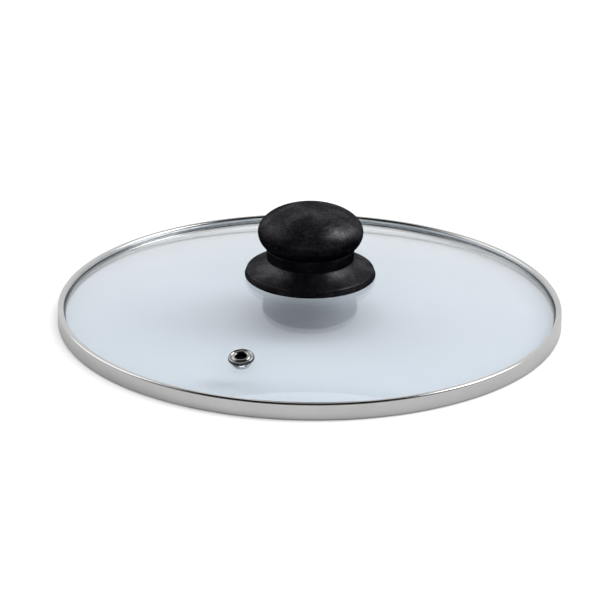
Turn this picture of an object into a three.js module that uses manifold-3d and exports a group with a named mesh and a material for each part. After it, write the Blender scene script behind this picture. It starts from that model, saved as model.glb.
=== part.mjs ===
// A domed glass lid for a 24 cm pan: tempered glass in a folded steel rim, a steam vent near the
// edge, and a two-part black knob held by a screw from below.
//
// Millimetres, +Z up. The origin is on the lid's axis in the plane that the rim rests on, and the
// vent lies to the front left, towards -Y.

import * as THREE from 'three';
import { mergeVertices } from 'three/addons/utils/BufferGeometryUtils.js';
import Module from 'manifold-3d';

// ---- driving dimensions ----------------------------------------------------------------------

// glass
const GLASS_TOP = 24.4; // height of the crown
const GLASS_THICKNESS = 4;
const DOME_RADIUS = 389; // outer surface of the spherical dome
const GLASS_EDGE_RADIUS = 118.2;
const SCREW_HOLE_RADIUS = 4;
const VENT_HOLE_RADIUS = 3.9;

// rim
const RIM_RADIUS = 120;
const BAND_THICKNESS = 0.5;
const RIM_TOP = 8.4; // flat top of the channel
const SHOULDER_RADIUS = 1; // bend from the wall to the flat top
const LIP_BEND_RADIUS = 0.8; // bend from the flat top down to the lip
const LIP_INNER_RADIUS = 117.2;
const LIP_END = 6.65; // just above the glass
const FOOT_BEND_RADIUS = 1; // both bends of the flat foot
const FOOT_INNER_RADIUS = 115.4;
const FOOT_LIP_TOP = 2.3;

// knob
const KNOB_FOOT = 23.3; // lower edge of the skirt
const SKIRT_RADIUS = 31.4;
const SKIRT_LIP_HEIGHT = 3.3;
const SKIRT_LIP_TAPER = 1.2; // how far the lip leans in over that height
const COLLAR_RADIUS = 20.6;
const COLLAR_FOOT = 32;
const COLLAR_TOP = 37.6;
const SKIRT_WALL = 2.4;
const BOSS_RADIUS = 9;
const BOSS_FOOT = 26;
const BULB_FOOT_RADIUS = 21.2;
const BULB_RADIUS = 25;
const BULB_EQUATOR = 45.3;
const KNOB_TOP = 57.8;
const SPIGOT_RADIUS = 10;
const SPIGOT_LENGTH = 2;

// knob hardware
const SCREW_RADIUS = 2.5; // M5
const SCREW_LENGTH = 30;
const HEAD_RADIUS = 4.75;
const HEAD_HEIGHT = 3.3;
const RECESS_LENGTH = 5;
const RECESS_WIDTH = 1.1;
const RECESS_DEPTH = 1.8;
const WASHER_RADIUS = 8;
const WASHER_THICKNESS = 1.2;
const SEAL_RADIUS = 9;
const SEAL_THICKNESS = 1.5;
const SEAL_SLEEVE_RADIUS = 3.6;
const SEAL_SLEEVE_TOP = 23.6;
const GASKET_RADIUS = 13;
const INSERT_RADIUS = 4;
const INSERT_BORE_RADIUS = 2.65;
const INSERT_LENGTH = 11;

// vent
const VENT_X = -31.2;
const VENT_Y = -82.1;
const EYELET_BORE_RADIUS = 2.6;
const EYELET_WALL = 0.4;
const EYELET_FLANGE_RADIUS = 5.85;
const EYELET_FLANGE_TOP = 1.4; // above the glass
const EYELET_LIP_TOP = 1.75;
const EYELET_LIP_WIDTH = 2;
const EYELET_FLARE_REACH = 1.3;
const GROMMET_RADIUS = 6.15;
const GROMMET_FLANGE = 0.5;
const VENT_WASHER_RADIUS = 4.6;
const VENT_WASHER_THICKNESS = 0.8;

// clearances
const FIT_GAP = 0.3;
const SEAT_GAP = 0.1;

// how finely round shapes are divided
const LID_SEGMENTS = 64;
const KNOB_SEGMENTS = 40;
const SMALL_SEGMENTS = 24;
const DOME_RINGS = 9;

const GLASS_BOTTOM = GLASS_TOP - GLASS_THICKNESS;
const DOME_CENTRE = GLASS_TOP - DOME_RADIUS;
const INNER_DOME_RADIUS = DOME_RADIUS - GLASS_THICKNESS;

// ---- materials -------------------------------------------------------------------------------

const finish = (color, roughness, metalness, extra = {}) =>
  new THREE.MeshStandardMaterial({ color, roughness, metalness, ...extra });

const GLASS = finish(0xd8e6ee, 0.03, 0, { transparent: true, opacity: 0.35 });
const STEEL = finish(0xc4c4c2, 0.28, 1);
const BRIGHT_STEEL = finish(0xcfcfd0, 0.15, 1);
const PHENOLIC = finish(0x1a1a1d, 0.45, 0);
const BRASS = finish(0xc9a24e, 0.3, 1);
const SILICONE = finish(0x1b1c1e, 0.7, 0);
const CLEAR_SILICONE = finish(0xd9dcdc, 0.6, 0);

// ---- helpers ---------------------------------------------------------------------------------

const wasm = await Module();
wasm.setup();

const at = (radius, height) => new THREE.Vector2(radius, height);

// Points on an arc in the (radius, height) plane, both ends included.
function arc(centreRadius, centreHeight, bend, fromDegrees, toDegrees, steps) {
  const points = [];
  for (let i = 0; i <= steps; i += 1) {
    const angle = THREE.MathUtils.degToRad(fromDegrees + ((toDegrees - fromDegrees) * i) / steps);
    points.push(at(centreRadius + bend * Math.cos(angle), centreHeight + bend * Math.sin(angle)));
  }
  return points;
}

// Points on a quadratic curve between two points, pulled towards a third, first end left out.
function sweepTo(from, pull, to, steps) {
  return new THREE.QuadraticBezierCurve(from, pull, to).getPoints(steps).slice(1);
}

// A solid of revolution about +Z. A profile that leaves the axis is closed on itself. Profiles run
// anticlockwise in the (radius, height) plane, so that the faces point out.
function turned(profile, segments) {
  const points = [...profile];
  if (points[0].x > 0) {
    points.push(points[0].clone());
  }
  return new THREE.LatheGeometry(points, segments).rotateX(Math.PI / 2);
}

function toSolid(geometry) {
  const bare = geometry.clone();
  bare.deleteAttribute('normal');
  bare.deleteAttribute('uv');
  const merged = mergeVertices(bare, 1e-4);
  return new wasm.Manifold(new wasm.Mesh({
    numProp: 3,
    vertProperties: Float32Array.from(merged.attributes.position.array),
    triVerts: Uint32Array.from(merged.index.array),
  }));
}

// The first geometry with all the others cut from it.
function cutFrom(geometry, cutters) {
  const solid = cutters.reduce((rest, cutter) => rest.subtract(toSolid(cutter)), toSolid(geometry));
  const { vertProperties, triVerts } = solid.getMesh();
  const result = new THREE.BufferGeometry();
  result.setAttribute('position', new THREE.BufferAttribute(Float32Array.from(vertProperties), 3));
  result.setIndex(new THREE.BufferAttribute(Uint32Array.from(triVerts), 1));
  result.computeVertexNormals();
  return result;
}

function named(name, geometry, material) {
  const mesh = new THREE.Mesh(geometry, material);
  mesh.name = name;
  return mesh;
}

// A group whose +Z is the dome's outward normal at the vent and whose origin is on the outer surface.
function ventPlace() {
  const turn = new THREE.Group();
  const tilt = new THREE.Group();
  const lift = new THREE.Group();
  turn.rotation.z = Math.atan2(VENT_Y, VENT_X);
  tilt.position.z = DOME_CENTRE;
  tilt.rotation.y = Math.asin(Math.hypot(VENT_X, VENT_Y) / DOME_RADIUS);
  lift.position.z = DOME_RADIUS;
  turn.add(tilt);
  tilt.add(lift);
  return { turn, lift };
}

// ---- glass -----------------------------------------------------------------------------------

function glassDome() {
  const edgeAngle = 90 - THREE.MathUtils.radToDeg(Math.asin(GLASS_EDGE_RADIUS / DOME_RADIUS));
  const holeAngle = (radius) => 90 - THREE.MathUtils.radToDeg(Math.asin(SCREW_HOLE_RADIUS / radius));
  const outerHole = holeAngle(DOME_RADIUS);
  const innerHole = holeAngle(INNER_DOME_RADIUS);
  const profile = [
    ...arc(0, DOME_CENTRE, INNER_DOME_RADIUS, innerHole, edgeAngle, DOME_RINGS),
    ...arc(0, DOME_CENTRE, DOME_RADIUS, edgeAngle, outerHole, DOME_RINGS),
  ];
  const drillLength = 6 * GLASS_THICKNESS;
  const drill = new THREE.CylinderGeometry(
    VENT_HOLE_RADIUS, VENT_HOLE_RADIUS, drillLength, SMALL_SEGMENTS,
  ).rotateX(Math.PI / 2);
  const { turn, lift } = ventPlace();
  turn.updateMatrixWorld(true);
  drill.applyMatrix4(lift.matrixWorld);
  return named('glass_dome', cutFrom(turned(profile, LID_SEGMENTS), [drill]), GLASS);
}

// ---- rim -------------------------------------------------------------------------------------

// A channel rolled from strip: a lip on the glass, a narrow flat top, an upright wall, a flat foot
// and a second lip under the glass.
function rimBand() {
  const shoulder = at(RIM_RADIUS - SHOULDER_RADIUS, RIM_TOP - SHOULDER_RADIUS);
  const lipBend = at(LIP_INNER_RADIUS + LIP_BEND_RADIUS, RIM_TOP - LIP_BEND_RADIUS);
  const outerBend = RIM_RADIUS - FOOT_BEND_RADIUS;
  const innerBend = FOOT_INNER_RADIUS + FOOT_BEND_RADIUS;
  const innerFoot = FOOT_BEND_RADIUS - BAND_THICKNESS;
  const profile = [
    at(FOOT_INNER_RADIUS, FOOT_LIP_TOP),
    ...arc(innerBend, FOOT_BEND_RADIUS, FOOT_BEND_RADIUS, 180, 270, 2),
    ...arc(outerBend, FOOT_BEND_RADIUS, FOOT_BEND_RADIUS, 270, 360, 2),
    ...arc(shoulder.x, shoulder.y, SHOULDER_RADIUS, 0, 90, 3),
    ...arc(lipBend.x, lipBend.y, LIP_BEND_RADIUS, 90, 180, 2),
    at(LIP_INNER_RADIUS, LIP_END),
    at(LIP_INNER_RADIUS + BAND_THICKNESS, LIP_END),
    ...arc(lipBend.x, lipBend.y, LIP_BEND_RADIUS - BAND_THICKNESS, 180, 90, 1),
    ...arc(shoulder.x, shoulder.y, SHOULDER_RADIUS - BAND_THICKNESS, 90, 0, 2),
    ...arc(outerBend, FOOT_BEND_RADIUS, innerFoot, 360, 270, 1),
    ...arc(innerBend, FOOT_BEND_RADIUS, innerFoot, 270, 180, 1),
    at(FOOT_INNER_RADIUS + BAND_THICKNESS, FOOT_LIP_TOP),
  ];
  return named('rim_band', turned(profile, LID_SEGMENTS), STEEL);
}

// The bead between the edge of the glass and the inside of the channel.
function rimSealant() {
  const edgeTilt = Math.asin(GLASS_EDGE_RADIUS / DOME_RADIUS);
  const beadFace = (radius) => at(
    radius * Math.sin(edgeTilt) + 1.2 * FIT_GAP,
    DOME_CENTRE + radius * Math.cos(edgeTilt),
  );
  const outside = RIM_RADIUS - BAND_THICKNESS - FIT_GAP;
  const foot = BAND_THICKNESS + FIT_GAP;
  const roof = RIM_TOP - SHOULDER_RADIUS - BAND_THICKNESS;
  const bottom = beadFace(INNER_DOME_RADIUS);
  const top = beadFace(DOME_RADIUS);
  const profile = [
    at(bottom.x, foot),
    at(outside - FIT_GAP, foot),
    at(outside, foot + FIT_GAP),
    at(outside, roof),
    at(top.x, roof),
    top,
    bottom,
  ];
  return named('rim_sealant', turned(profile, LID_SEGMENTS), CLEAR_SILICONE);
}

// ---- vent ------------------------------------------------------------------------------------

// Heights in the vent's own pieces are measured from the outer surface of the glass.
const GROMMET_TOP = FIT_GAP + GROMMET_FLANGE;
const VENT_WASHER_TOP = -GLASS_THICKNESS - FIT_GAP;
const VENT_WASHER_BOTTOM = VENT_WASHER_TOP - VENT_WASHER_THICKNESS;
const BARREL_RADIUS = EYELET_BORE_RADIUS + EYELET_WALL;

function ventEyelet() {
  const flare = VENT_WASHER_BOTTOM - SEAT_GAP;
  const lipBend = EYELET_LIP_WIDTH / 2;
  const lipCentre = EYELET_BORE_RADIUS + lipBend;
  const edgeBend = EYELET_FLANGE_TOP - GROMMET_TOP - SEAT_GAP;
  const profile = [
    at(BARREL_RADIUS, flare - 2 * EYELET_WALL),
    at(BARREL_RADIUS + EYELET_FLARE_REACH, flare - EYELET_WALL),
    at(BARREL_RADIUS + EYELET_FLARE_REACH, flare),
    at(BARREL_RADIUS, flare),
    at(BARREL_RADIUS, GROMMET_TOP + SEAT_GAP),
    ...arc(EYELET_FLANGE_RADIUS - edgeBend, GROMMET_TOP + SEAT_GAP, edgeBend, 0, 90, 3),
    at(lipCentre + lipBend, EYELET_FLANGE_TOP - 0.25),
    ...arc(lipCentre, EYELET_LIP_TOP - lipBend, lipBend, 30, 180, 5),
    at(EYELET_BORE_RADIUS, flare - EYELET_WALL),
  ];
  return named('vent_eyelet', turned(profile, SMALL_SEGMENTS), BRIGHT_STEEL);
}

// A flange on the glass and a sleeve that lines the hole.
function ventGrommet() {
  const bore = BARREL_RADIUS + SEAT_GAP;
  const sleeve = VENT_HOLE_RADIUS - FIT_GAP;
  const profile = [
    at(bore, -GLASS_THICKNESS),
    at(sleeve, -GLASS_THICKNESS),
    at(sleeve, FIT_GAP),
    at(GROMMET_RADIUS, FIT_GAP),
    at(GROMMET_RADIUS, GROMMET_TOP),
    at(bore, GROMMET_TOP),
  ];
  return named('vent_grommet', turned(profile, SMALL_SEGMENTS), SILICONE);
}

function ring(name, bore, radius, bottom, top, segments, material) {
  const profile = [at(bore, bottom), at(radius, bottom), at(radius, top), at(bore, top)];
  return named(name, turned(profile, segments), material);
}

function ventWasher() {
  return ring(
    'vent_washer', BARREL_RADIUS + FIT_GAP, VENT_WASHER_RADIUS,
    VENT_WASHER_BOTTOM, VENT_WASHER_TOP, SMALL_SEGMENTS, BRIGHT_STEEL,
  );
}

// ---- knob ------------------------------------------------------------------------------------

// The bulb, with a spigot that centres it in the skirt and a blind hole for the threaded insert.
function knobGrip() {
  const holeRadius = INSERT_RADIUS + FIT_GAP;
  const holeRoof = COLLAR_TOP - FIT_GAP + INSERT_LENGTH + 2;
  const underside = at(BULB_FOOT_RADIUS, COLLAR_TOP + 0.3);
  const equator = at(BULB_RADIUS, BULB_EQUATOR);
  const underCurve = sweepTo(underside, at(BULB_RADIUS, BULB_EQUATOR - 4.2), equator, 5);
  const crown = [];
  const crownSteps = 9;
  for (let i = 1; i <= crownSteps; i += 1) {
    const angle = (i / crownSteps) * (Math.PI / 2);
    const radius = i === crownSteps ? 0 : BULB_RADIUS * Math.cos(angle);
    crown.push(at(radius, BULB_EQUATOR + (KNOB_TOP - BULB_EQUATOR) * Math.sin(angle)));
  }
  const profile = [
    at(0, holeRoof),
    at(holeRadius, holeRoof),
    at(holeRadius, COLLAR_TOP - SPIGOT_LENGTH),
    at(SPIGOT_RADIUS, COLLAR_TOP - SPIGOT_LENGTH),
    at(SPIGOT_RADIUS, COLLAR_TOP),
    at(BULB_FOOT_RADIUS - 0.3, COLLAR_TOP),
    underside,
    ...underCurve,
    ...crown,
  ];
  return named('knob_grip', turned(profile, KNOB_SEGMENTS), PHENOLIC);
}

// Collar and flared skirt: a moulded shell with a central boss that takes the clamping load.
function knobSkirt() {
  const lipTop = at(SKIRT_RADIUS - SKIRT_LIP_TAPER, KNOB_FOOT + SKIRT_LIP_HEIGHT);
  const collarFoot = at(COLLAR_RADIUS, COLLAR_FOOT);
  const flareReach = 2.8;
  const flareDrop = 3.6;
  const flarePull = at(COLLAR_RADIUS + flareReach, COLLAR_FOOT - flareDrop);
  const shellFoot = at(SKIRT_RADIUS - SKIRT_WALL, KNOB_FOOT + FIT_GAP);
  const shellLip = at(lipTop.x - SKIRT_WALL, lipTop.y - 1);
  const shellNeck = at(COLLAR_RADIUS - SKIRT_WALL, COLLAR_FOOT - 1);
  const roof = COLLAR_TOP - SPIGOT_LENGTH - SKIRT_WALL;
  const screwHole = SCREW_RADIUS + FIT_GAP;
  const pocketFloor = COLLAR_TOP - SPIGOT_LENGTH - SEAT_GAP;
  const pocketRadius = SPIGOT_RADIUS + FIT_GAP;
  const profile = [
    at(screwHole, BOSS_FOOT),
    at(BOSS_RADIUS, BOSS_FOOT),
    at(BOSS_RADIUS, roof),
    at(shellNeck.x, roof),
    shellNeck,
    ...sweepTo(shellNeck, at(shellNeck.x + flareReach, shellNeck.y - flareDrop), shellLip, 4),
    shellFoot,
    at(SKIRT_RADIUS - 0.4, KNOB_FOOT),
    at(SKIRT_RADIUS, KNOB_FOOT + 0.5),
    lipTop,
    ...sweepTo(lipTop, flarePull, collarFoot, 6),
    at(COLLAR_RADIUS + 0.4, COLLAR_TOP - 0.4),
    at(COLLAR_RADIUS, COLLAR_TOP),
    at(pocketRadius, COLLAR_TOP),
    at(pocketRadius, pocketFloor),
    at(screwHole, pocketFloor),
  ];
  return named('knob_skirt', turned(profile, KNOB_SEGMENTS), PHENOLIC);
}

function knobInsert() {
  const bottom = COLLAR_TOP - FIT_GAP;
  return ring(
    'knob_insert', INSERT_BORE_RADIUS, INSERT_RADIUS, bottom, bottom + INSERT_LENGTH,
    SMALL_SEGMENTS, BRASS,
  );
}

function knobGasket() {
  return ring(
    'knob_gasket', SCREW_HOLE_RADIUS, GASKET_RADIUS, GLASS_TOP + SEAT_GAP, BOSS_FOOT,
    KNOB_SEGMENTS, SILICONE,
  );
}

// ---- hardware under the glass ----------------------------------------------------------------

const SEAL_TOP = GLASS_BOTTOM - FIT_GAP;
const SEAL_BOTTOM = SEAL_TOP - SEAL_THICKNESS;
const WASHER_BOTTOM = SEAL_BOTTOM - WASHER_THICKNESS;

function screwSeal() {
  const bore = SCREW_RADIUS + FIT_GAP;
  const profile = [
    at(bore, SEAL_BOTTOM),
    at(SEAL_RADIUS, SEAL_BOTTOM),
    at(SEAL_RADIUS, SEAL_TOP),
    at(SEAL_SLEEVE_RADIUS, SEAL_TOP),
    at(SEAL_SLEEVE_RADIUS, SEAL_SLEEVE_TOP),
    at(bore, SEAL_SLEEVE_TOP),
  ];
  return named('screw_seal', turned(profile, SMALL_SEGMENTS), SILICONE);
}

function screwWasher() {
  return ring(
    'screw_washer', SCREW_RADIUS + FIT_GAP, WASHER_RADIUS, WASHER_BOTTOM, SEAL_BOTTOM,
    SMALL_SEGMENTS, BRIGHT_STEEL,
  );
}

// A pan head screw, head down, with a cross recess.
function knobScrew() {
  const headFace = WASHER_BOTTOM - HEAD_HEIGHT;
  const tip = WASHER_BOTTOM + SCREW_LENGTH;
  const profile = [
    at(0, headFace),
    at(HEAD_RADIUS - 1.6, headFace),
    at(HEAD_RADIUS - 0.5, headFace + 0.7),
    at(HEAD_RADIUS, headFace + 1.8),
    at(HEAD_RADIUS, WASHER_BOTTOM),
    at(SCREW_RADIUS, WASHER_BOTTOM),
    at(SCREW_RADIUS, tip - 0.6),
    at(SCREW_RADIUS - 0.6, tip),
    at(0, tip),
  ];
  const slot = (width, depth) =>
    new THREE.BoxGeometry(width, depth, 2 * RECESS_DEPTH).translate(0, 0, headFace);
  const cutters = [slot(RECESS_LENGTH, RECESS_WIDTH), slot(RECESS_WIDTH, RECESS_LENGTH)];
  return named('knob_screw', cutFrom(turned(profile, SMALL_SEGMENTS), cutters), BRIGHT_STEEL);
}

// ---- assembly --------------------------------------------------------------------------------

const lid = new THREE.Group();
lid.add(glassDome(), rimBand(), rimSealant());

const vent = ventPlace();
vent.lift.add(ventEyelet(), ventGrommet(), ventWasher());
lid.add(vent.turn);

const knob = new THREE.Group();
knob.add(knobGrip(), knobSkirt(), knobInsert(), knobGasket());
lid.add(knob);

const hardware = new THREE.Group();
hardware.add(knobScrew(), screwWasher(), screwSeal());
lid.add(hardware);

export default lid;
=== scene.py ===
"""Looks for the domed glass pan lid: smooth turned pieces, real materials, a studio and a camera.

Lengths of the pieces are in millimetres, and one factor, MM, turns them into Blender's metres.
"""

import math

import bpy
from mathutils import Matrix, Vector


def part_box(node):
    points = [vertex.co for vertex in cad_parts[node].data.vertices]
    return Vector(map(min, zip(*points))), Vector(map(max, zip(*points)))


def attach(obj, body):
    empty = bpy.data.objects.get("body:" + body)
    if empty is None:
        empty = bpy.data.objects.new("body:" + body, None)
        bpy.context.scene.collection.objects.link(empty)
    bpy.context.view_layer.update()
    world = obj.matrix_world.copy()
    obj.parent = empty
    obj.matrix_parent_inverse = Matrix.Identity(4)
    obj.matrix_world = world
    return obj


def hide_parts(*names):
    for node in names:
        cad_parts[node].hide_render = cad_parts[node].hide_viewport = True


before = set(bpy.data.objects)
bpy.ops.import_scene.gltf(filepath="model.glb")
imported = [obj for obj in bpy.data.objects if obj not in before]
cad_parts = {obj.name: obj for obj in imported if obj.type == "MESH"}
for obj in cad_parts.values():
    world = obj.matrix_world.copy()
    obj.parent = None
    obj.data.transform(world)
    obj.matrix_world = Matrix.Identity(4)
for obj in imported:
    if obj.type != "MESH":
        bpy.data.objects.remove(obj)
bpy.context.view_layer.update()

MM = 0.001

# ---- sizes taken from the frame --------------------------------------------------------------


def low_high(node):
    """Lowest and highest corner of a CAD node, in millimetres."""
    low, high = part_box(node)
    return low / MM, high / MM


RIM_RADIUS = low_high("rim_band")[1].x
RIM_TOP = low_high("rim_band")[1].z
GLASS_EDGE = low_high("glass_dome")[1].x
SKIRT_FOOT = low_high("knob_skirt")[0].z
SKIRT_RADIUS = low_high("knob_skirt")[1].x
COLLAR_TOP = low_high("knob_skirt")[1].z
SPIGOT_FOOT = low_high("knob_grip")[0].z
BULB_RADIUS = low_high("knob_grip")[1].x
KNOB_TOP = low_high("knob_grip")[1].z
GASKET_FOOT, GASKET_TOP = (corner.z for corner in low_high("knob_gasket"))
GASKET_RADIUS = low_high("knob_gasket")[1].x
INSERT_FOOT, INSERT_TOP = (corner.z for corner in low_high("knob_insert"))
HEAD_FACE, SCREW_TIP = (corner.z for corner in low_high("knob_screw"))
WASHER_FOOT, WASHER_TOP = (corner.z for corner in low_high("screw_washer"))
WASHER_RADIUS = low_high("screw_washer")[1].x
SEAL_FOOT, SEAL_TOP = (corner.z for corner in low_high("screw_seal"))
SEAL_RADIUS = low_high("screw_seal")[1].x
VENT_MIDDLE = sum(low_high("vent_washer"), Vector()) / 2

# ---- sizes of its own ------------------------------------------------------------------------

GLASS_CROWN = 24.4
GLASS_THICKNESS = 4.0
DOME_RADIUS = 389.0
DOME_CENTRE = Vector((0, 0, GLASS_CROWN - DOME_RADIUS))
SCREW_HOLE = 4.0  # radius of the hole in the glass
VENT_HOLE = 3.9
HAIRLINE = 0.03  # gap between pieces that rest on each other

BAND = 0.5  # thickness of the rim's steel
SHOULDER = 1.0  # bend between the rim's wall and its flat top
LIP_BEND = 1.1  # a little fuller than in the CAD
LIP_RADIUS = 117.2
FOOT_BEND = 1.0
FOOT_INNER = 115.4

EYELET_BORE = 2.6
EYELET_WALL = 0.4
EYELET_FLANGE = 5.85
EYELET_LIP_BEND = 0.98
EYELET_LIP_TOP = 1.68  # heights at the vent are above the outer surface of the glass
# Painted shade: within this radius of the vent's axis the bore is painted near black, fading to
# bright steel by the next radius.
BORE_SHADE_RADIUS = 2.75
BORE_SHADE_END_RADIUS = 3.1
BARREL = EYELET_BORE + EYELET_WALL
GROMMET_TOP = 0.78
GROMMET_RADIUS = 6.15
VENT_WASHER_RADIUS = 4.6
VENT_WASHER_TOP = -4.05
VENT_WASHER_FOOT = -4.85

BULB_EQUATOR = 45.3
BULB_FOOT_RADIUS = 21.2
INSERT_HOLE = 4.05
INSERT_RADIUS = 4.0
INSERT_BORE = 2.65
SPIGOT_RADIUS = 10
SPIGOT_HOLE = 10.3
SKIRT_WALL = 2.4
COLLAR_RADIUS = 20.6
COLLAR_FOOT = 32.0
LIP_HEIGHT = 3.3
LIP_TAPER = 1.2
BOSS_RADIUS = 9.0
RIB_COUNT = 6

SCREW_RADIUS = 2.5
SCREW_BORE = SCREW_RADIUS + 0.3
HEAD_RADIUS = 4.75
THREAD_DEPTH = 0.42
THREAD_HALF_WIDTH = 0.42  # as a share of the pitch
PITCH = 0.8
SEAL_SLEEVE = 3.6

FLOOR_RADIUS = 6000
FLOOR_DROP = 0.05
FLOOR_STEPS = 64

LID_STEPS = 288
KNOB_STEPS = 192
SMALL_STEPS = 96
SCREW_STEPS = 48

# ---- sections --------------------------------------------------------------------------------


def dome_height(radius, surface=DOME_RADIUS):
    """Height of a dome surface at a distance from the lid's axis."""
    return DOME_CENTRE.z + math.sqrt(surface**2 - radius**2)


def arc(centre, bend, start, stop, steps):
    """Points on an arc in the (radius, height) plane, from start to stop degrees, both included."""
    turns = [math.radians(start + (stop - start) * i / steps) for i in range(steps + 1)]
    return [(centre[0] + bend * math.cos(t), centre[1] + bend * math.sin(t)) for t in turns]


def sweep(first, pull, last, steps):
    """Points on a quadratic curve, without its first end."""
    points = []
    for i in range(1, steps + 1):
        t = i / steps
        weights = ((1 - t) ** 2, 2 * t * (1 - t), t**2)
        points.append(tuple(
            weights[0] * first[k] + weights[1] * pull[k] + weights[2] * last[k] for k in (0, 1)
        ))
    return points


def rounded(corners, steps=6):
    """A closed section from (radius, height, bend) corners, each rounded to its bend."""
    section = []
    count = len(corners)
    for i, (radius, height, bend) in enumerate(corners):
        corner = Vector((radius, height))
        back = (Vector(corners[i - 1][:2]) - corner).normalized()
        ahead = (Vector(corners[(i + 1) % count][:2]) - corner).normalized()
        half = math.acos(max(-1, min(1, back.dot(ahead)))) / 2
        if bend <= 0 or half > math.radians(88):
            section.append((radius, height))
            continue
        centre = corner + (back + ahead).normalized() * bend / math.sin(half)
        begin = corner + back * bend / math.tan(half) - centre
        end = corner + ahead * bend / math.tan(half) - centre
        start = math.atan2(begin.y, begin.x)
        turn = (math.atan2(end.y, end.x) - start + math.pi) % (2 * math.pi) - math.pi
        for k in range(steps + 1):
            angle = start + turn * k / steps
            section.append((centre.x + bend * math.cos(angle), centre.y + bend * math.sin(angle)))
    return section


def vent_place():
    """The vent's own frame: Z along the dome's normal there, origin on the outer surface."""
    offset = math.hypot(VENT_MIDDLE.x, VENT_MIDDLE.y)
    height = VENT_MIDDLE.z - DOME_CENTRE.z
    tilt = math.atan2(offset, height)
    turn = math.atan2(VENT_MIDDLE.y, VENT_MIDDLE.x)
    return (
        Matrix.Rotation(turn, 4, "Z")
        @ Matrix.Translation(DOME_CENTRE)
        @ Matrix.Rotation(tilt, 4, "Y")
        @ Matrix.Translation((0, 0, DOME_RADIUS))
    )


# ---- meshes ----------------------------------------------------------------------------------


def mesh_object(name, verts, faces, sharp=35):
    mesh = bpy.data.meshes.new(name)
    mesh.from_pydata([Vector(v) * MM for v in verts], [], faces)
    mesh.shade_smooth()
    mesh.set_sharp_from_angle(angle=math.radians(sharp))
    mesh.update()
    piece = bpy.data.objects.new(name, mesh)
    bpy.context.scene.collection.objects.link(piece)
    return piece


def turned(name, section, steps, place=None, wobble=None):
    """A solid of revolution. The section runs anticlockwise in the (radius, height) plane; it closes
    on itself unless it starts and ends on the axis. place moves it; wobble(angle, radius, height)
    gives a radius that changes round the axis."""
    verts = []
    rings = []
    for radius, height in section:
        if radius < 1e-6:
            rings.append([len(verts)])
            verts.append(Vector((0, 0, height)))
            continue
        ring = []
        for j in range(steps):
            angle = 2 * math.pi * j / steps
            reach = wobble(angle, radius, height) if wobble else radius
            ring.append(len(verts))
            verts.append(Vector((reach * math.cos(angle), reach * math.sin(angle), height)))
        rings.append(ring)
    pairs = list(zip(rings, rings[1:]))
    if len(rings[0]) > 1:
        pairs.append((rings[-1], rings[0]))
    faces = []
    for a, b in pairs:
        for j in range(steps):
            k = (j + 1) % steps
            loop = [a[j % len(a)], a[k % len(a)], b[k % len(b)], b[j % len(b)]]
            face = list(dict.fromkeys(loop))
            if len(face) > 2:
                faces.append(face)
    if place:
        verts = [place @ v for v in verts]
    return mesh_object(name, verts, faces)


def finish_piece(piece, body, node, material):
    """Puts a finished piece in the place of a CAD node."""
    piece.data.materials.clear()
    piece.data.materials.append(material)
    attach(piece, body)
    if node:
        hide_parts(node)


# ---- materials -------------------------------------------------------------------------------


def map_range(tree, source, start, stop, low, high):
    """A node that maps source, from start to stop, onto low to high."""
    node = tree.nodes.new("ShaderNodeMapRange")
    for socket, value in (
        ("From Min", start), ("From Max", stop), ("To Min", low), ("To Max", high),
    ):
        node.inputs[socket].default_value = value
    tree.links.new(source, node.inputs["Value"])
    return node


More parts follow.
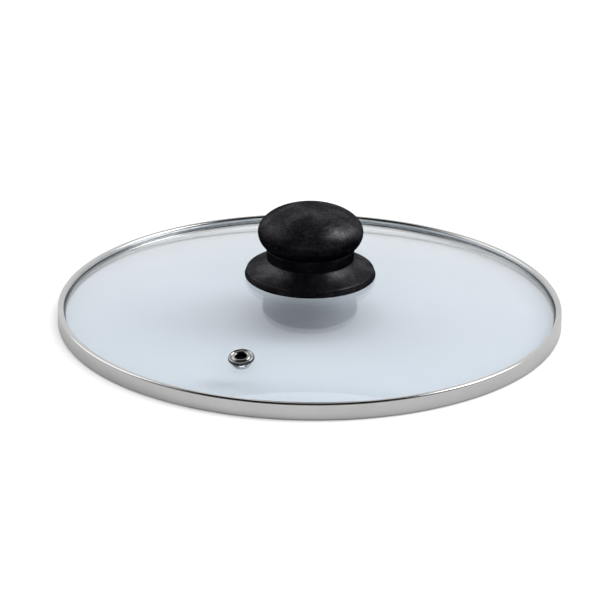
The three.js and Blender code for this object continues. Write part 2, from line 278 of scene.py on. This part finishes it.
class Shader:
    """A material under construction, with short calls for the nodes that the materials share."""

    def __init__(self, name, **settings):
        self.material = bpy.data.materials.new(name)
        self.material.use_nodes = True
        self.tree = self.material.node_tree
        self.tree.nodes.clear()
        self.output = self.tree.nodes.new("ShaderNodeOutputMaterial")
        self.bsdf = self.tree.nodes.new("ShaderNodeBsdfPrincipled")
        self.link(self.bsdf.outputs[0], self.output.inputs["Surface"])
        coordinates = self.tree.nodes.new("ShaderNodeTexCoord")
        self.place = coordinates.outputs["Object"]
        self.normal = coordinates.outputs["Normal"]
        for socket, value in settings.items():
            self.bsdf.inputs[socket.replace("_", " ")].default_value = value

    def link(self, source, target):
        self.tree.links.new(source, target)

    def noise(self, scale, detail=3.0, stretch=None, roughness=0.5):
        """Noise over the object. scale is cells per metre; stretch multiplies it along X, Y and Z."""
        place = self.place
        if stretch:
            mapping = self.tree.nodes.new("ShaderNodeMapping")
            mapping.inputs["Scale"].default_value = stretch
            self.link(place, mapping.inputs["Vector"])
            place = mapping.outputs["Vector"]
        node = self.tree.nodes.new("ShaderNodeTexNoise")
        node.inputs["Scale"].default_value = scale
        node.inputs["Detail"].default_value = detail
        node.inputs["Roughness"].default_value = roughness
        self.link(place, node.inputs["Vector"])
        return node.outputs["Fac"]

    def spread(self, source, low, high, start=0.3, stop=0.7):
        """Maps source, from start to stop, onto low to high."""
        return map_range(self.tree, source, start, stop, low, high).outputs["Result"]

    def blend(self, factor, first, second):
        """A colour between two colours."""
        node = self.tree.nodes.new("ShaderNodeMix")
        node.data_type = "RGBA"
        ends = [socket for socket in node.inputs if socket.type == "RGBA"]
        for socket, shade in zip(ends, (first, second)):
            socket.default_value = (*shade, 1)
        self.link(factor, node.inputs["Factor"])
        return next(s for s in node.outputs if s.type == "RGBA")

    def sums(self, operation, first, second):
        """One step of arithmetic on two numbers, each of them a socket or a constant."""
        node = self.tree.nodes.new("ShaderNodeMath")
        node.operation = operation
        for socket, value in zip(node.inputs, (first, second)):
            if isinstance(value, (int, float)):
                socket.default_value = value
            else:
                self.link(value, socket)
        return node.outputs["Value"]

    def colour(self, source):
        self.link(source, self.bsdf.inputs["Base Color"])

    def rough(self, source):
        self.link(source, self.bsdf.inputs["Roughness"])

    def bump(self, source, strength, distance):
        """distance is the depth of the relief, in metres."""
        node = self.tree.nodes.new("ShaderNodeBump")
        node.inputs["Strength"].default_value = strength
        node.inputs["Distance"].default_value = distance
        self.link(source, node.inputs["Height"])
        self.link(node.outputs["Normal"], self.bsdf.inputs["Normal"])

    def mix_in(self, share, other):
        """Mixes another shader node into the main one. share is the other one's part, 0 to 1."""
        mix = self.tree.nodes.new("ShaderNodeMixShader")
        self.link(share, mix.inputs["Fac"])
        self.link(self.bsdf.outputs[0], mix.inputs[1])
        self.link(other.outputs[0], mix.inputs[2])
        self.link(mix.outputs[0], self.output.inputs["Surface"])


def glass_material():
    """Clear tempered glass with a faint blue tint. Lamp light passes straight through it."""
    shader = Shader("clear_glass", IOR=1.52, Transmission_Weight=1.0)
    haze = shader.noise(18, detail=4)
    shader.colour(shader.blend(shader.spread(haze, 0, 1), (0.855, 0.9, 0.94), (0.875, 0.915, 0.95)))
    shader.rough(shader.spread(shader.noise(60, detail=5), 0.0, 0.012, 0.45, 0.75))
    shader.bump(shader.noise(22, detail=1), 0.12, 0.00005)
    rays = shader.tree.nodes.new("ShaderNodeLightPath")
    clear = shader.tree.nodes.new("ShaderNodeBsdfTransparent")
    clear.inputs["Color"].default_value = (0.725, 0.75, 0.775, 1)
    lamp_rays = shader.sums(
        "MAXIMUM", rays.outputs["Is Shadow Ray"], rays.outputs["Is Diffuse Ray"]
    )
    shader.mix_in(lamp_rays, clear)
    return shader.material


def steel_shader(name, tone, roughness, streak):
    """Stainless steel with fine lines along the strip and a few soft smudges."""
    shader = Shader(name, Metallic=1.0)
    lines = shader.noise(1, detail=2, stretch=(30, 30, streak))
    smudge = shader.noise(55, detail=4)
    shader.colour(shader.blend(
        shader.spread(smudge, 0, 1), [0.94 * c for c in tone], [1.03 * c for c in tone],
    ))
    shader.rough(shader.sums(
        "ADD", shader.spread(lines, roughness * 0.8, roughness * 1.2),
        shader.spread(smudge, -0.03, 0.04),
    ))
    shader.bump(lines, 0.15, 0.00002)
    return shader


def eyelet_material():
    """The vent's bright steel, painted near black inside its bore as painted shade."""
    shader = steel_shader("vent_stainless", (0.4, 0.4, 0.41), 0.18, 1500)
    tree = shader.tree
    bright = shader.bsdf.inputs["Base Color"].links[0].from_socket
    turn = tree.nodes.new("ShaderNodeMapping")
    turn.vector_type = "TEXTURE"
    spot = vent_place()
    turn.inputs["Location"].default_value = spot.translation * MM
    turn.inputs["Rotation"].default_value = spot.to_euler()
    flat = tree.nodes.new("ShaderNodeVectorMath")
    flat.operation = "MULTIPLY"
    flat.inputs[1].default_value = (1, 1, 0)
    reach = tree.nodes.new("ShaderNodeVectorMath")
    reach.operation = "LENGTH"
    mix = tree.nodes.new("ShaderNodeMix")
    mix.data_type = "RGBA"
    dark, clean = (socket for socket in mix.inputs if socket.type == "RGBA")
    # Painted shade: the steel inside the bore is painted near black and fades to its bright colour a
    # little further out.
    dark.default_value = (0.02, 0.02, 0.02, 1)
    shader.link(shader.place, turn.inputs["Vector"])
    shader.link(turn.outputs["Vector"], flat.inputs[0])
    shader.link(flat.outputs["Vector"], reach.inputs[0])
    edge = shader.spread(reach.outputs["Value"], 0, 1, BORE_SHADE_RADIUS * MM, BORE_SHADE_END_RADIUS * MM)
    shader.link(edge, mix.inputs["Factor"])
    shader.link(bright, clean)
    shader.colour(next(s for s in mix.outputs if s.type == "RGBA"))
    return shader.material


def phenolic_material(name, grain):
    """Compression-moulded black phenolic. Its filler leaves a rough, patchy gloss, which doesn't rise
    at grazing angles and so has its own shader. That gloss is painted shade as well: it is strong on
    faces that point up and weak on faces that point down, so these reflect less of the bright floor."""
    shader = Shader(name, Specular_IOR_Level=0.0)
    fine = shader.noise(grain, detail=3, roughness=0.7)
    patches = shader.noise(90, detail=4, roughness=0.6)
    scuffs = shader.spread(patches, 0, 1, 0.45, 0.68)
    shader.colour(shader.blend(scuffs, (0.0008, 0.0008, 0.0014), (0.004, 0.004, 0.0055)))
    rough = shader.sums("ADD", shader.spread(patches, 0.46, 0.34), shader.spread(fine, -0.08, 0.08))
    shader.rough(rough)
    shader.bump(shader.sums("ADD", fine, shader.sums("MULTIPLY", patches, 4)), 0.5, 0.00012)
    gloss = shader.tree.nodes.new("ShaderNodeBsdfAnisotropic")
    gloss.inputs["Color"].default_value = (0.94, 0.93, 1.0, 1)
    shader.link(rough, gloss.inputs["Roughness"])
    shader.link(shader.bsdf.inputs["Normal"].links[0].from_socket, gloss.inputs["Normal"])
    split = shader.tree.nodes.new("ShaderNodeSeparateXYZ")
    shader.link(shader.normal, split.inputs["Vector"])
    worn = shader.sums(
        "MULTIPLY", shader.spread(patches, 0.027, 0.055, 0.42, 0.64),
        shader.spread(fine, 0.6, 1.5, 0.35, 0.65),
    )
    # Painted shade: the gloss shader's share is cut to about an eighth on faces that point sideways
    # or down, so they reflect less of the bright floor.
    upward_painted_gloss = shader.spread(split.outputs["Z"], 0.12, 1, 0, 0.7)
    shader.mix_in(shader.sums("MULTIPLY", worn, upward_painted_gloss), gloss)
    return shader.material


def silicone_material(name, dark, light, roughness):
    """Matt silicone, between a dark and a light tone."""
    shader = Shader(name)
    cloud = shader.noise(220, detail=4)
    shader.colour(shader.blend(shader.spread(cloud, 0, 1), dark, light))
    shader.rough(shader.spread(cloud, roughness - 0.06, roughness + 0.08))
    shader.bump(shader.noise(1800, detail=2), 0.25, 0.00004)
    return shader.material


def brass_material():
    """Brass with fine turning marks and a slight stain."""
    shader = Shader("turned_brass", Metallic=1.0)
    marks = shader.noise(1, detail=2, stretch=(60, 60, 5000))
    stain = shader.noise(300, detail=3)
    shader.colour(shader.blend(shader.spread(stain, 0, 1), (0.62, 0.43, 0.17), (0.76, 0.56, 0.25)))
    shader.rough(shader.spread(marks, 0.2, 0.38))
    shader.bump(marks, 0.2, 0.00003)
    return shader.material


def floor_material():
    """A white sweep. In the lid's reflections it is painted a little darker than it looks directly:
    painted shade that stands in for the dim parts of a studio."""
    shader = Shader("studio_floor")
    cloud = shader.noise(3, detail=4)
    shader.colour(shader.blend(shader.spread(cloud, 0, 1), (0.86, 0.86, 0.86), (0.88, 0.88, 0.88)))
    shader.rough(shader.spread(cloud, 0.75, 0.85))
    rays = shader.tree.nodes.new("ShaderNodeLightPath")
    # Painted shade: glossy rays see this darker diffuse instead of the floor's own white.
    reflected_painted_shade = shader.tree.nodes.new("ShaderNodeBsdfDiffuse")
    reflected_painted_shade.inputs["Color"].default_value = (0.52, 0.52, 0.52, 1)
    reflected = shader.sums(
        "SUBTRACT", rays.outputs["Is Glossy Ray"], rays.outputs["Is Transmission Ray"]
    )
    shader.mix_in(reflected, reflected_painted_shade)
    return shader.material


GLASS = glass_material()
RIM_STEEL = steel_shader("rim_stainless", (0.58, 0.58, 0.577), 0.12, 2600).material
BRIGHT_STEEL = steel_shader("bright_stainless", (0.68, 0.68, 0.68), 0.12, 1500).material
WASHER_STEEL = steel_shader("satin_washer", (0.9, 0.9, 0.91), 0.45, 900).material
GRIP_BLACK = phenolic_material("phenolic_grip", 900)
SKIRT_BLACK = phenolic_material("phenolic_skirt", 1300)
BLACK_SILICONE = silicone_material(
    "black_silicone", (0.012, 0.012, 0.013), (0.022, 0.022, 0.024), 0.55
)
CLEAR_SILICONE = silicone_material(
    "clear_silicone", (0.3, 0.31, 0.31), (0.4, 0.41, 0.41), 0.45
)
BRASS = brass_material()
VENT_STEEL = eyelet_material()

# ---- glass -----------------------------------------------------------------------------------


def cut(piece, cutter):
    """Cuts one closed mesh from another."""
    tool = piece.modifiers.new("cut", "BOOLEAN")
    tool.operation = "DIFFERENCE"
    tool.solver = "EXACT"
    tool.object = cutter
    graph = bpy.context.evaluated_depsgraph_get()
    result = bpy.data.meshes.new_from_object(piece.evaluated_get(graph))
    piece.modifiers.clear()
    old = piece.data
    piece.data = result
    result.name = piece.name
    bpy.data.meshes.remove(old)
    bpy.data.objects.remove(cutter)


def dome_normals(mesh):
    """Exact normals on both dome surfaces, so that reflections stay clean round the vent hole."""
    centre = DOME_CENTRE * MM
    normals = []
    mesh.shade_smooth()
    for face in mesh.polygons:
        flat = face.normal.copy()
        for index in face.vertices:
            out = (mesh.vertices[index].co - centre).normalized()
            side = flat.dot(out)
            normals.append(out if side > 0.98 else -out if side < -0.98 else flat)
    mesh.normals_split_custom_set(normals)


def make_glass():
    rings = 40
    inner = DOME_RADIUS - GLASS_THICKNESS
    edge_angle = math.degrees(math.asin(GLASS_EDGE / DOME_RADIUS))
    hole_angle = math.degrees(math.asin(SCREW_HOLE / DOME_RADIUS))
    centre = (0, DOME_CENTRE.z)
    upper = arc(centre, DOME_RADIUS, 90 - edge_angle + 0.1, 90 - hole_angle, rings)
    lower = arc(centre, inner, 90 - hole_angle, 90 - edge_angle + 0.1, rings)
    middle = DOME_RADIUS - GLASS_THICKNESS / 2
    nose = arc(centre, middle, 90 - edge_angle, 90 - edge_angle + 0.01, 1)[:1]
    dome = turned("lid_glass", lower + nose + upper, LID_STEPS)
    drill_section = [(0, -12), (VENT_HOLE, -12), (VENT_HOLE, 6), (0, 6)]
    drill = turned("drill", drill_section, SMALL_STEPS, vent_place())
    cut(dome, drill)
    dome_normals(dome.data)
    finish_piece(dome, "lid", "glass_dome", GLASS)


# ---- rim -------------------------------------------------------------------------------------


def make_rim():
    shoulder = (RIM_RADIUS - SHOULDER, RIM_TOP - SHOULDER)
    lip_bend = (LIP_RADIUS + LIP_BEND, RIM_TOP - LIP_BEND)
    outer_bend = (RIM_RADIUS - FOOT_BEND, FOOT_BEND)
    inner_bend = (FOOT_INNER + FOOT_BEND, FOOT_BEND)
    lip_end = dome_height(LIP_RADIUS) + HAIRLINE
    foot_end = dome_height(FOOT_INNER + BAND, DOME_RADIUS - GLASS_THICKNESS) - HAIRLINE
    section = [
        (FOOT_INNER + BAND / 2, foot_end),
        (FOOT_INNER, foot_end - BAND / 2),
        *arc(inner_bend, FOOT_BEND, 180, 270, 8),
        *arc(outer_bend, FOOT_BEND, 270, 360, 8),
        *arc(shoulder, SHOULDER, 0, 90, 16),
        *arc(lip_bend, LIP_BEND, 90, 180, 14),
        (LIP_RADIUS, lip_end + BAND / 4),
        (LIP_RADIUS + BAND / 4, lip_end),
        (LIP_RADIUS + BAND, lip_end),
        *arc(lip_bend, LIP_BEND - BAND, 180, 90, 6),
        *arc(shoulder, SHOULDER - BAND, 90, 0, 8),
        *arc(outer_bend, FOOT_BEND - BAND, 360, 270, 4),
        *arc(inner_bend, FOOT_BEND - BAND, 270, 180, 4),
        (FOOT_INNER + BAND, foot_end - BAND / 4),
    ]
    band = turned("lid_rim", section, LID_STEPS)
    finish_piece(band, "lid", "rim_band", RIM_STEEL)


def make_sealant():
    low, high = low_high("rim_sealant")
    tilt = math.asin(GLASS_EDGE / DOME_RADIUS)
    inner = DOME_RADIUS - GLASS_THICKNESS
    bead = 0.1
    section = rounded([
        (inner * math.sin(tilt) + bead, low.z, 0.3),
        (high.x, low.z, 0.4),
        (high.x, high.z, 0.4),
        (GLASS_EDGE + bead, high.z, 0.1),
        (GLASS_EDGE + bead, dome_height(GLASS_EDGE), 0.05),
        (inner * math.sin(tilt) + bead, DOME_CENTRE.z + inner * math.cos(tilt), 0.05),
    ])
    bead_ring = turned("lid_rim_sealant", section, LID_STEPS)
    finish_piece(bead_ring, "lid", "rim_sealant", CLEAR_SILICONE)


# ---- vent ------------------------------------------------------------------------------------


def make_vent():
    place = vent_place()
    flare = VENT_WASHER_FOOT - 0.05
    lip_centre = (EYELET_BORE + EYELET_LIP_BEND, EYELET_LIP_TOP - EYELET_LIP_BEND)
    edge_bend = 0.3
    edge_centre = (EYELET_FLANGE - edge_bend, GROMMET_TOP + HAIRLINE + edge_bend)
    section = [
        *arc((BARREL + 0.8, flare - 0.35), 0.32, 270, 450, 8),
        (BARREL, flare - HAIRLINE),
        (BARREL, GROMMET_TOP + HAIRLINE),
        *arc(edge_centre, edge_bend, 270, 450, 10),
        *sweep((edge_centre[0], edge_centre[1] + edge_bend), (5.0, 1.42), (4.66, 1.0), 8),
        *arc(lip_centre, EYELET_LIP_BEND, 18, 180, 20),
        *sweep(
            (EYELET_BORE, flare + 0.6), (EYELET_BORE, flare - 0.7), (BARREL + 0.5, flare - 0.7), 8
        ),
    ]
    eyelet = turned("vent_eyelet_bright", section, SMALL_STEPS, place)
    finish_piece(eyelet, "lid", "vent_eyelet", VENT_STEEL)

    bore = BARREL + 0.05
    sleeve = VENT_HOLE - 0.05
    grommet_section = rounded([
        (bore, -GLASS_THICKNESS, 0.05),
        (sleeve, -GLASS_THICKNESS, 0.05),
        (sleeve, HAIRLINE, 0.05),
        (GROMMET_RADIUS, HAIRLINE, 0.15),
        (GROMMET_RADIUS, GROMMET_TOP, 0.3),
        (bore, GROMMET_TOP, 0.05),
    ])
    grommet = turned("vent_grommet_black", grommet_section, SMALL_STEPS, place)
    finish_piece(grommet, "lid", "vent_grommet", BLACK_SILICONE)

    washer_section = rounded([
        (BARREL + 0.3, VENT_WASHER_FOOT, 0.1),
        (VENT_WASHER_RADIUS, VENT_WASHER_FOOT, 0.2),
        (VENT_WASHER_RADIUS, VENT_WASHER_TOP, 0.2),
        (BARREL + 0.3, VENT_WASHER_TOP, 0.1),
    ])
    washer = turned("vent_washer_bright", washer_section, SMALL_STEPS, place)
    finish_piece(washer, "lid", "vent_washer", WASHER_STEEL)


# ---- knob ------------------------------------------------------------------------------------


def make_grip():
    start = (BULB_FOOT_RADIUS, COLLAR_TOP + 0.35)
    crown = [
        (BULB_RADIUS * math.cos(t), BULB_EQUATOR + (KNOB_TOP - BULB_EQUATOR) * math.sin(t))
        for t in (math.pi / 2 * i / 48 for i in range(1, 48))
    ]
    section = [
        (0, INSERT_TOP + 2),
        *rounded([
            (INSERT_HOLE, INSERT_TOP + 2, 0),
            (INSERT_HOLE, SPIGOT_FOOT, 0.3),
            (SPIGOT_RADIUS, SPIGOT_FOOT, 0.3),
            (SPIGOT_RADIUS, COLLAR_TOP, 0),
            (BULB_FOOT_RADIUS - 0.1, COLLAR_TOP, 0.25),
            (*start, 0),
        ], 4),
        *sweep(start, (BULB_RADIUS, BULB_EQUATOR - 4.2), (BULB_RADIUS, BULB_EQUATOR), 24),
        *crown,
        (0, KNOB_TOP),
    ]
    grip = turned("knob_bulb", section, KNOB_STEPS)
    finish_piece(grip, "knob", "knob_grip", GRIP_BLACK)


def flank(inset, steps):
    """The skirt's lip, and its concave flank up to the collar, both moved in by inset."""
    lip = (SKIRT_RADIUS - LIP_TAPER - inset, SKIRT_FOOT + LIP_HEIGHT - 0.4 * inset)
    neck = (COLLAR_RADIUS - inset, COLLAR_FOOT - 0.4 * inset)
    return lip, sweep(lip, (neck[0] + 2.8, neck[1] - 3.6), neck, steps)


def make_skirt():
    roof = SPIGOT_FOOT - SKIRT_WALL
    floor = SPIGOT_FOOT - 0.1
    lip, outside = flank(0, 24)
    inner_lip, inside = flank(SKIRT_WALL, 12)
    outer_foot = rounded([
        (SKIRT_RADIUS - SKIRT_WALL, SKIRT_FOOT + 0.3, 0.3),
        (SKIRT_RADIUS, SKIRT_FOOT, 0.6),
        (*lip, 0.7),
        (*outside[2], 0),
    ])
    section = [
        *rounded([
            (SCREW_BORE, GASKET_TOP, 0.2),
            (BOSS_RADIUS, GASKET_TOP, 0.4),
            (BOSS_RADIUS + 0.3, roof, 0.8),
            (inside[-1][0], roof, 0.8),
            (*inside[-1], 0.6),
            (*inside[-2], 0),
        ])[:-1],
        *reversed(inside[:-1]),
        inner_lip,
        *outer_foot[:-1],
        *outside[3:-1],
        *rounded([
            (*outside[-2], 0),
            (*outside[-1], 0.35),
            (COLLAR_RADIUS + 0.4, COLLAR_TOP, 0.45),
            (SPIGOT_HOLE, COLLAR_TOP, 0.2),
            (SPIGOT_HOLE, floor, 0.1),
            (SCREW_BORE, floor, 0.2),
        ])[1:],
    ]
    skirt = turned("knob_flared_skirt", section, KNOB_STEPS)
    finish_piece(skirt, "knob", "knob_skirt", SKIRT_BLACK)


def make_ribs():
    """Moulded ribs under the skirt, from its boss to its wall, thinner towards their feet."""
    verts = []
    faces = []
    foot = GASKET_TOP + 1.2
    roof = SPIGOT_FOOT - SKIRT_WALL + 0.3
    neck = COLLAR_RADIUS - SKIRT_WALL
    outline = [
        (BOSS_RADIUS - 0.3, foot),
        (neck + 5.5, foot),
        (neck + 0.6, COLLAR_FOOT),
        (neck + 0.3, roof),
        (BOSS_RADIUS - 0.3, roof),
    ]
    for rib in range(RIB_COUNT):
        turn = Matrix.Rotation(math.radians(30 + 360 / RIB_COUNT * rib), 4, "Z")
        base = len(verts)
        for side in (-1, 1):
            for radius, height in outline:
                half = 0.55 + 0.35 * (height - foot) / (roof - foot)
                verts.append(turn @ Vector((radius, side * half, height)))
        count = len(outline)
        faces.append([base + i for i in range(count)])
        faces.append([base + count + i for i in reversed(range(count))])
        for i in range(count):
            k = (i + 1) % count
            faces.append([base + k, base + i, base + count + i, base + count + k])
    ribs = mesh_object("knob_skirt_ribs", verts, faces)
    finish_piece(ribs, "knob", None, SKIRT_BLACK)


def make_knob_hardware():
    insert_section = rounded([
        (INSERT_BORE, INSERT_FOOT, 0.3),
        (INSERT_RADIUS, INSERT_FOOT, 0.25),
        (INSERT_RADIUS, INSERT_TOP, 0.25),
        (INSERT_BORE, INSERT_TOP, 0.3),
    ])

    insert = turned("knob_brass_insert", insert_section, SMALL_STEPS)
    finish_piece(insert, "knob", "knob_insert", BRASS)

    gasket_section = rounded([
        (SCREW_HOLE, GASKET_FOOT, 0.2),
        (GASKET_RADIUS, GASKET_FOOT - 0.25, 0.4),
        (GASKET_RADIUS, GASKET_TOP, 0.5),
        (SCREW_HOLE, GASKET_TOP, 0.2),
    ])
    gasket = turned("knob_seat_gasket", gasket_section, KNOB_STEPS)
    finish_piece(gasket, "knob_seat", "knob_gasket", BLACK_SILICONE)


# ---- hardware under the glass ----------------------------------------------------------------


def make_screw():
    """A pan head screw, head down, with its real helical thread and a cross recess."""
    shank = []
    fine = PITCH / 8
    height = WASHER_FOOT + 6
    while height < SCREW_TIP - 0.7:
        shank.append((SCREW_RADIUS, height))
        height += fine
    thread_foot = shank[0][1]
    thread_top = shank[-1][1]

    def thread(angle, radius, height):
        if radius != SCREW_RADIUS or not thread_foot <= height <= thread_top:
            return radius
        phase = (height / PITCH - angle / (2 * math.pi)) % 1
        groove = max(0.0, 1 - abs(phase - 0.5) / THREAD_HALF_WIDTH)
        fade = min(1.0, (height - thread_foot) / PITCH)
        return radius - THREAD_DEPTH * groove * fade

    section = [
        (0, HEAD_FACE),
        *sweep(
            (HEAD_RADIUS - 2.2, HEAD_FACE),
            (HEAD_RADIUS, HEAD_FACE),
            (HEAD_RADIUS, WASHER_FOOT - 1.2),
            12,
        ),
        (HEAD_RADIUS, WASHER_FOOT - 0.1),
        (HEAD_RADIUS - 0.1, WASHER_FOOT),
        (SCREW_RADIUS, WASHER_FOOT),
        *shank,
        (SCREW_RADIUS - 0.15, SCREW_TIP - 0.5),
        (SCREW_RADIUS - 0.7, SCREW_TIP),
        (0, SCREW_TIP),
    ]
    screw = turned("knob_screw_m5", section, SCREW_STEPS, wobble=thread)
    for turn in (0, 90):
        verts = []
        for deep, half, reach in ((-0.5, 0.62, 2.6), (1.8, 0.35, 1.5)):
            for x, y in ((-reach, -half), (reach, -half), (reach, half), (-reach, half)):
                spot = Matrix.Rotation(math.radians(turn), 4, "Z") @ Vector((x, y, 0))
                verts.append((spot.x, spot.y, HEAD_FACE + deep))
        faces = [[3, 2, 1, 0], [4, 5, 6, 7]]
        faces += [[i, (i + 1) % 4, 4 + (i + 1) % 4, 4 + i] for i in range(4)]
        cut(screw, mesh_object("slot", verts, faces))
    screw.data.shade_smooth()
    screw.data.set_sharp_from_angle(angle=math.radians(35))
    finish_piece(screw, "lid", "knob_screw", BRIGHT_STEEL)


def make_washers():
    washer_section = rounded([
        (SCREW_BORE, WASHER_FOOT, 0.15),
        (WASHER_RADIUS, WASHER_FOOT, 0.3),
        (WASHER_RADIUS, WASHER_TOP, 0.3),
        (SCREW_BORE, WASHER_TOP, 0.15),
    ])
    washer = turned("screw_washer_bright", washer_section, SMALL_STEPS)
    finish_piece(washer, "lid", "screw_washer", BRIGHT_STEEL)

    flange_top = GLASS_CROWN - GLASS_THICKNESS - 0.15
    seal_section = rounded([
        (SCREW_BORE, SEAL_FOOT, 0.1),
        (SEAL_RADIUS, SEAL_FOOT, 0.4),
        (SEAL_RADIUS, flange_top, 0.4),
        (SEAL_SLEEVE, flange_top, 0.1),
        (SEAL_SLEEVE, SEAL_TOP, 0.2),
        (SCREW_BORE, SEAL_TOP, 0.1),
    ])
    seal = turned("screw_seal_black", seal_section, SMALL_STEPS)
    finish_piece(seal, "lid", "screw_seal", BLACK_SILICONE)


# ---- studio ----------------------------------------------------------------------------------

CAMERA_ELEVATION = 22.39  # degrees above the table
CAMERA_DISTANCE = 2.1807  # metres from the middle of the rim's foot
CAMERA_LENS = 274.14  # millimetres, and so is the sensor
CAMERA_SENSOR = 36.0
CAMERA_PAN = 0.1234  # degrees to the left of the lid's middle
CAMERA_TILT = 0.2494  # degrees above the lid's foot
CAMERA_ROLL = -0.6422  # degrees


def make_camera():
    elevation = math.radians(CAMERA_ELEVATION)
    spot = Vector((0, -math.cos(elevation), math.sin(elevation))) * CAMERA_DISTANCE
    ahead = -spot.normalized()
    right = Vector((1, 0, 0))
    up = right.cross(ahead)
    pan = Matrix.Rotation(math.radians(CAMERA_PAN), 3, up)
    ahead, right = pan @ ahead, pan @ right
    tilt = Matrix.Rotation(math.radians(CAMERA_TILT), 3, right)
    ahead, up = tilt @ ahead, tilt @ up
    roll = Matrix.Rotation(math.radians(CAMERA_ROLL), 3, ahead)
    right, up = roll @ right, roll @ up
    data = bpy.data.cameras.new("camera")
    data.lens = CAMERA_LENS
    data.sensor_width = CAMERA_SENSOR
    data.clip_end = 100
    camera = bpy.data.objects.new("camera", data)
    turn = Matrix((right, up, -ahead)).transposed().to_4x4()
    camera.matrix_world = Matrix.Translation(spot) @ turn
    bpy.context.scene.collection.objects.link(camera)
    bpy.context.scene.camera = camera


def softbox(name, azimuth, elevation, distance, size, radiance, glossy=True):
    """A soft light that faces the lid. Azimuth 0 is the camera's side, 90 is to the right. One that
    isn't glossy lights the floor and leaves no highlight."""
    a, e = math.radians(azimuth), math.radians(elevation)
    spot = Vector((math.sin(a) * math.cos(e), -math.cos(a) * math.cos(e), math.sin(e))) * distance
    data = bpy.data.lights.new(name, "AREA")
    data.shape = "RECTANGLE"
    data.size, data.size_y = size
    data.energy = radiance * math.pi * size[0] * size[1]
    lamp = bpy.data.objects.new(name, data)
    lamp.location = spot
    lamp.rotation_euler = (-spot).to_track_quat("-Z", "Y").to_euler()
    lamp.visible_camera = False
    lamp.visible_glossy = glossy
    bpy.context.scene.collection.objects.link(lamp)


def make_world():
    """A pale room: bright behind and beside the lid, dark overhead and on the camera's side."""
    world = bpy.data.worlds.new("studio")
    bpy.context.scene.world = world
    world.use_nodes = True
    tree = world.node_tree
    background = tree.nodes["Background"]
    place = tree.nodes.new("ShaderNodeTexCoord")
    split = tree.nodes.new("ShaderNodeSeparateXYZ")
    tree.links.new(place.outputs["Generated"], split.inputs["Vector"])

    def span(axis, start, stop, low, high):
        node = map_range(tree, split.outputs[axis], start, stop, low, high)
        node.interpolation_type = "SMOOTHSTEP"
        return node.outputs["Result"]

    across = span("Y", -0.4, 0.5, 0.05, 0.9)
    ceiling = span("Z", 0.78, 0.85, 1.0, 0.0)
    product = tree.nodes.new("ShaderNodeMath")
    product.operation = "MULTIPLY"
    tree.links.new(across, product.inputs[0])
    tree.links.new(ceiling, product.inputs[1])
    tree.links.new(product.outputs["Value"], background.inputs["Strength"])
    background.inputs["Color"].default_value = (1, 1, 1, 1)


def make_floor():
    turns = [math.tau * i / FLOOR_STEPS for i in range(FLOOR_STEPS)]
    verts = [
        (FLOOR_RADIUS * math.cos(turn), FLOOR_RADIUS * math.sin(turn), -FLOOR_DROP) for turn in turns
    ]
    floor = mesh_object("studio_floor", verts, [list(range(FLOOR_STEPS))])
    floor.data.materials.append(floor_material())


make_camera()
make_world()
make_floor()
softbox("softbox_right", 95, 44, 1.3, (0.75, 0.75), 5.0)
softbox("softbox_left", -106, 36, 1.3, (1.2, 1.0), 0.9)
softbox("softbox_above", 0, 89, 1.8, (2.4, 2.4), 1.85, glossy=False)
softbox("softbox_front", 0, 28, 1.4, (1.4, 0.8), 3.0, glossy=False)
bpy.context.scene.view_settings.view_transform = "Standard"

make_glass()
make_rim()
make_sealant()
make_vent()
make_grip()
make_skirt()
make_ribs()
make_knob_hardware()
make_screw()
make_washers()
